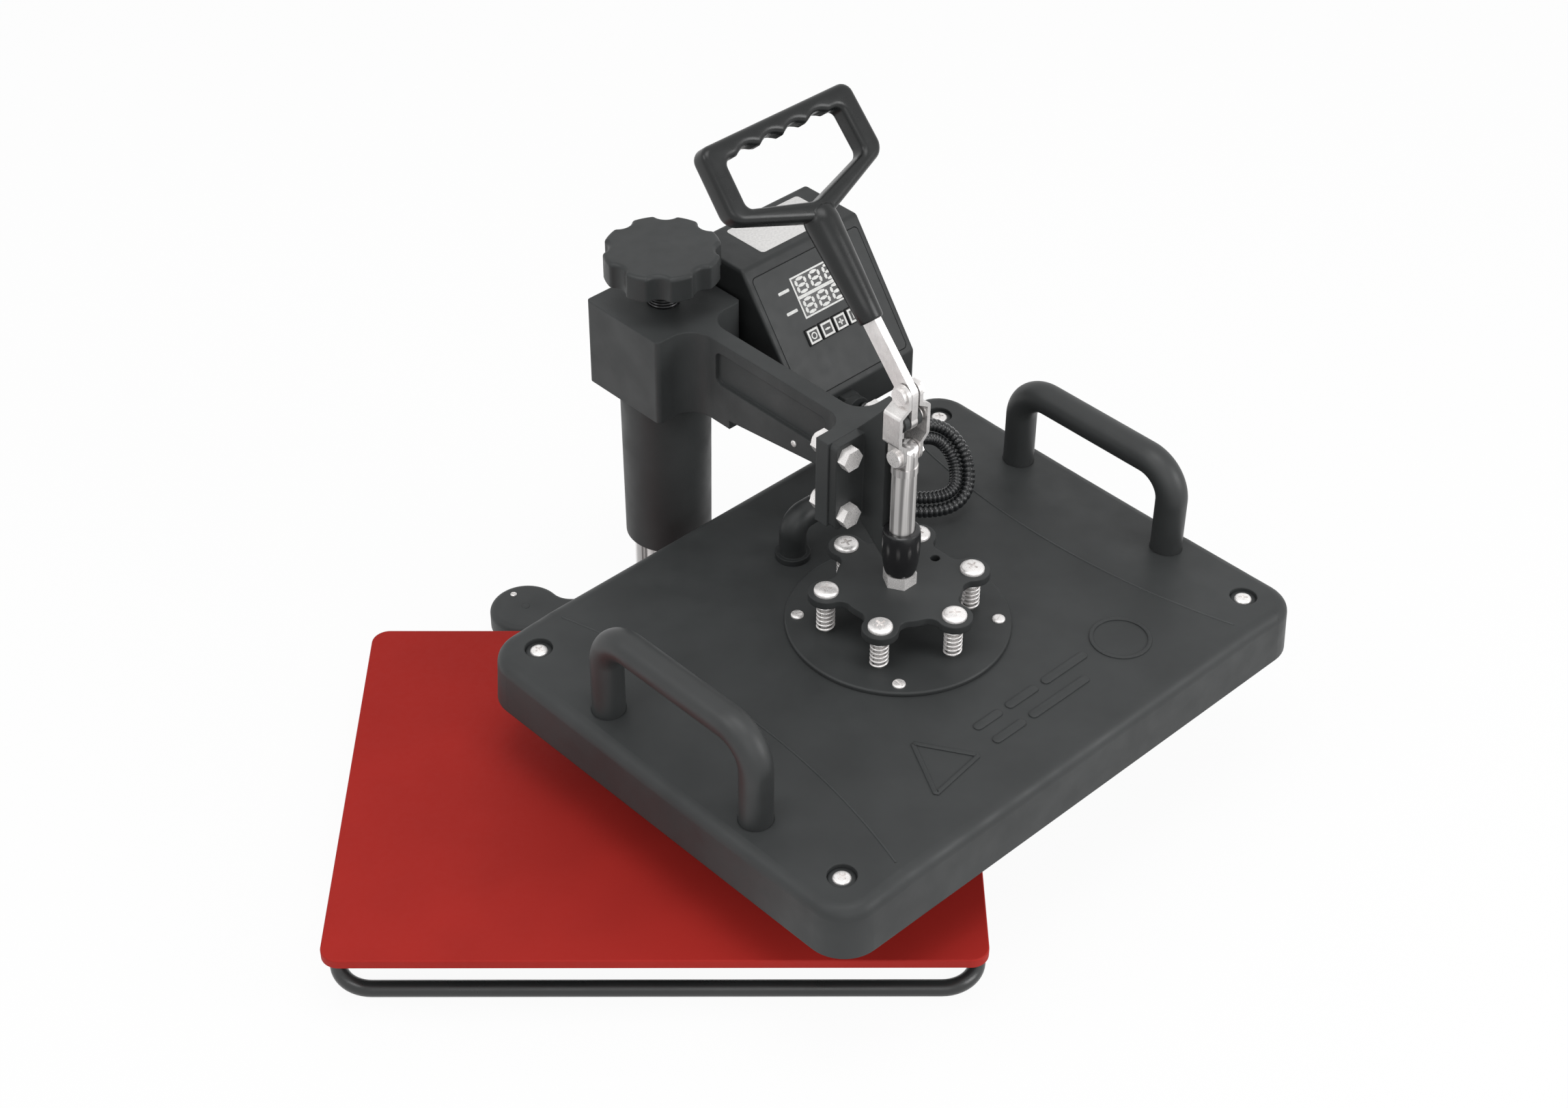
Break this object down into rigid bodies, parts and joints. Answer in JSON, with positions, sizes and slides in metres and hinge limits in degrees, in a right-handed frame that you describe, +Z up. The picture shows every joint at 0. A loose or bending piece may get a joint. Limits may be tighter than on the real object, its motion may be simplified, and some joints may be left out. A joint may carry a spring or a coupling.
{
  "type": "combo heat press",
  "caption": "Swing-away flatbed heat press: sprung hot platen on a toggle lever, red silicone pad, column with height screw, and a slanted control box.",
  "frame": {"origin": "on the table, on the axis of the column that the head swings about", "axes": "+X to the right of the pad, -Y to its front edge, +Z up; at rest the head is swung 43.2 degrees from the pad towards +X"},
  "size_m": [0.5763, 0.4983, 0.4313],
  "materials": {
    "silicone": "matt red silicone",
    "charcoal_coat": "satin charcoal powder coat",
    "charcoal_casting": "satin charcoal powder coat",
    "charcoal_aluminium": "satin charcoal powder coat",
    "black_coat": "gloss black coat",
    "black_rubber": "matt",
    "chrome": "polished",
    "bronze": "plain bearing bronze",
    "black_steel": "black oxide",
    "zinc_steel": "bright zinc plate",
    "black_plastic": "fine moulded texture",
    "black_gloss": "gloss",
    "display": "grey display window",
    "button_grey": "pale key caps",
    "heater": "dark non-stick coat"
  },
  "bodies": {
    "base": {"silicone_pad": "silicone", "lower_plate": "charcoal_coat", "base_casting": "charcoal_casting", "front_rod": "black_coat", "foot_left": "black_rubber", "foot_right": "black_rubber", "foot_column": "black_rubber", "column_post": "chrome"},
    "thrust": {"thrust_pad": "bronze"},
    "knob": {"height_screw": "black_steel", "height_knob": "black_plastic"},
    "arm": {"swing_arm": "charcoal_casting", "column_bushes": "bronze", "head_bracket": "charcoal_coat", "flange_bolt_1": "zinc_steel", "flange_bolt_2": "zinc_steel", "flange_bolt_3": "zinc_steel", "flange_bolt_4": "zinc_steel", "lever_pin": "zinc_steel", "control_box": "black_plastic", "control_panel": "black_plastic", "display_lenses": "display", "box_bracket": "charcoal_coat", "power_inlet": "black_gloss", "conduit_gland": "black_plastic", "conduit_outer": "black_gloss", "conduit_inner": "black_gloss"},
    "set_key": {"button_set": "button_grey"},
    "minus_key": {"button_minus": "button_grey"},
    "plus_key": {"button_plus": "button_grey"},
    "start_key": {"button_start": "button_grey"},
    "rocker": {"power_switch": "black_gloss"},
    "lever": {"lever_bar": "zinc_steel", "lever_handle": "black_plastic"},
    "link": {"link_left": "zinc_steel", "link_right": "zinc_steel", "link_bolt": "zinc_steel", "eye_bolt": "zinc_steel"},
    "plunger": {"plunger": "chrome", "clamp_nuts": "zinc_steel", "star_plate": "charcoal_coat"},
    "platen": {"mounting_disc": "charcoal_coat", "shoulder_screw_1": "zinc_steel", "shoulder_screw_2": "zinc_steel", "shoulder_screw_3": "zinc_steel", "shoulder_screw_4": "zinc_steel", "shoulder_screw_5": "zinc_steel", "shoulder_screw_6": "zinc_steel", "spring_1": "zinc_steel", "spring_2": "zinc_steel", "spring_3": "zinc_steel", "spring_4": "zinc_steel", "spring_5": "zinc_steel", "spring_6": "zinc_steel", "platen_cover": "charcoal_aluminium", "heating_plate": "heater", "grab_left": "black_plastic", "grab_right": "black_plastic", "cable_elbow": "black_plastic"}
  },
  "joints": [
    {"name": "swing", "type": "hinge", "parent": "base", "child": "thrust", "pos_m": [0, 0, 0.219], "axis": [0, 0, 1], "range_deg": [-133.2, 46.8]},
    {"name": "arm_height", "type": "slide", "parent": "thrust", "child": "arm", "axis": [0, 0, 1], "range_m": [-0.02, 0.015]},
    {"name": "knob_turn", "type": "hinge", "parent": "thrust", "child": "knob", "pos_m": [0, 0, 0.29], "axis": [0, 0, 1], "range_deg": [-2700, 3600]},
    {"name": "lever_swing", "type": "hinge", "parent": "arm", "child": "lever", "pos_m": [0.14273, -0.15199, 0.281], "axis": [0.729, 0.6845, 0], "range_deg": [0, 115]},
    {"name": "link_swing", "type": "hinge", "parent": "lever", "child": "link", "pos_m": [0.14273, -0.15199, 0.2995], "axis": [0.729, 0.6845, 0], "range_deg": [-91.8, 0]},
    {"name": "press_stroke", "type": "slide", "parent": "arm", "child": "plunger", "axis": [0, 0, -1], "range_m": [0, 0.0229]},
    {"name": "platen_float", "type": "slide", "parent": "plunger", "child": "platen", "axis": [0, 0, 1], "range_m": [0, 0.006], "stiffness_N_per_m": 12000, "springref_m": -0.004, "deforming": ["spring_1", "spring_2", "spring_3", "spring_4", "spring_5", "spring_6"]},
    {"name": "set_press", "type": "slide", "parent": "arm", "child": "set_key", "axis": [-0.5618, 0.5983, -0.5714], "range_m": [0, 0.001], "stiffness_N_per_m": 400, "springref_m": -0.001},
    {"name": "minus_press", "type": "slide", "parent": "arm", "child": "minus_key", "axis": [-0.5618, 0.5983, -0.5714], "range_m": [0, 0.001], "stiffness_N_per_m": 400, "springref_m": -0.001},
    {"name": "plus_press", "type": "slide", "parent": "arm", "child": "plus_key", "axis": [-0.5618, 0.5983, -0.5714], "range_m": [0, 0.001], "stiffness_N_per_m": 400, "springref_m": -0.001},
    {"name": "start_press", "type": "slide", "parent": "arm", "child": "start_key", "axis": [-0.5618, 0.5983, -0.5714], "range_m": [0, 0.001], "stiffness_N_per_m": 400, "springref_m": -0.001},
    {"name": "rocker_tilt", "type": "hinge", "parent": "arm", "child": "rocker", "pos_m": [0.07069, 0.08833, 0.2], "axis": [0.729, 0.6845, 0], "range_deg": [0, 14]}
  ],
  "couplings": [
    {"joint": "knob_turn", "follows": "arm_height", "rad_per_m": -3141.6},
    {"joint": "link_swing", "follows": "lever_swing", "ratio": -0.79826},
    {"joint": "press_stroke", "follows": "lever_swing", "m_per_rad": 0.011409}
  ]
}
